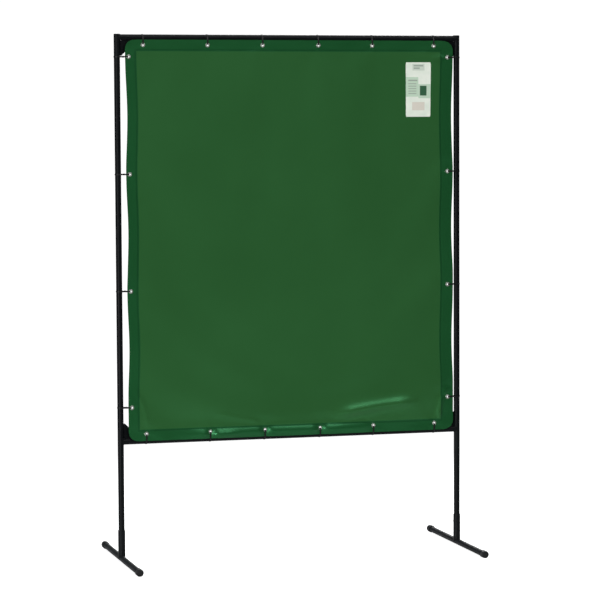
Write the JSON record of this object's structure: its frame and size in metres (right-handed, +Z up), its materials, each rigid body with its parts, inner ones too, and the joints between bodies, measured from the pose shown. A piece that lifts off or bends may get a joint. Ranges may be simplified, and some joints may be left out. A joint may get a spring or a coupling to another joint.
{
  "type": "welding curtain screen",
  "caption": "Free-standing welding screen: a round-tube steel frame on two swivelling T-feet, with a green film curtain tied inside it through eyelets.",
  "frame": {"origin": "on the floor, under the middle of the screen and in the plane of its tubes", "axes": "+X along the panel to the viewer's right, +Y away from the side the curtain hangs on, +Z up"},
  "size_m": [1.307, 0.64, 1.9018],
  "materials": {
    "frame_paint": "black satin powder coat",
    "black_plastic": "moulded black polyethylene, fine grain",
    "tie_nylon": "black nylon, slight sheen",
    "eyelet_metal": "nickel-plated, rolled",
    "zinc_screw": "bright zinc plate",
    "green_film": "dark green tinted PVC film, glossy, slightly translucent",
    "label_paper": "white vinyl label"
  },
  "bodies": {
    "screen": {"upright_left": "frame_paint", "top_plug_left": "black_plastic", "gusset_top_left": "frame_paint", "gusset_bottom_left": "frame_paint", "upright_right": "frame_paint", "top_plug_right": "black_plastic", "gusset_top_right": "frame_paint", "gusset_bottom_right": "frame_paint", "top_rail": "frame_paint", "bottom_rail": "frame_paint", "curtain": "green_film", "label": "label_paper", "eyelet_top_1": "eyelet_metal", "eyelet_top_2": "eyelet_metal", "eyelet_top_3": "eyelet_metal", "eyelet_top_4": "eyelet_metal", "eyelet_top_5": "eyelet_metal", "eyelet_top_6": "eyelet_metal", "eyelet_right_1": "eyelet_metal", "eyelet_right_2": "eyelet_metal", "eyelet_right_3": "eyelet_metal", "eyelet_right_4": "eyelet_metal", "eyelet_bottom_1": "eyelet_metal", "eyelet_bottom_2": "eyelet_metal", "eyelet_bottom_3": "eyelet_metal", "eyelet_bottom_4": "eyelet_metal", "eyelet_bottom_5": "eyelet_metal", "eyelet_bottom_6": "eyelet_metal", "eyelet_left_1": "eyelet_metal", "eyelet_left_2": "eyelet_metal", "eyelet_left_3": "eyelet_metal", "eyelet_left_4": "eyelet_metal", "tie_top_1": "tie_nylon", "tie_top_2": "tie_nylon", "tie_top_3": "tie_nylon", "tie_top_4": "tie_nylon", "tie_top_5": "tie_nylon", "tie_top_6": "tie_nylon", "tie_right_1": "tie_nylon", "tie_right_2": "tie_nylon", "tie_right_3": "tie_nylon", "tie_right_4": "tie_nylon", "tie_bottom_1": "tie_nylon", "tie_bottom_2": "tie_nylon", "tie_bottom_3": "tie_nylon", "tie_bottom_4": "tie_nylon", "tie_bottom_5": "tie_nylon", "tie_bottom_6": "tie_nylon", "tie_left_1": "tie_nylon", "tie_left_2": "tie_nylon", "tie_left_3": "tie_nylon", "tie_left_4": "tie_nylon"},
    "foot_left": {"foot_left": "frame_paint", "foot_cap_front_left": "black_plastic", "foot_cap_back_left": "black_plastic"},
    "clamp_screw_left": {"clamp_screw_left": "zinc_screw"},
    "foot_right": {"foot_right": "frame_paint", "foot_cap_front_right": "black_plastic", "foot_cap_back_right": "black_plastic"},
    "clamp_screw_right": {"clamp_screw_right": "zinc_screw"}
  },
  "joints": [
    {"name": "foot_swivel_left", "type": "hinge", "parent": "screen", "child": "foot_left", "pos_m": [-0.64, 0, 0.07], "axis": [0, 0, 1], "range_deg": [-90, 90]},
    {"name": "foot_swivel_right", "type": "hinge", "parent": "screen", "child": "foot_right", "pos_m": [0.64, 0, 0.07], "axis": [0, 0, 1], "range_deg": [-90, 90]},
    {"name": "clamp_screw_turn_left", "type": "hinge", "parent": "foot_left", "child": "clamp_screw_left", "pos_m": [-0.64, 0.02, 0.085], "axis": [0, 1, 0], "range_deg": [0, 720]},
    {"name": "clamp_screw_turn_right", "type": "hinge", "parent": "foot_right", "child": "clamp_screw_right", "pos_m": [0.64, 0.02, 0.085], "axis": [0, 1, 0], "range_deg": [0, 720]}
  ]
}
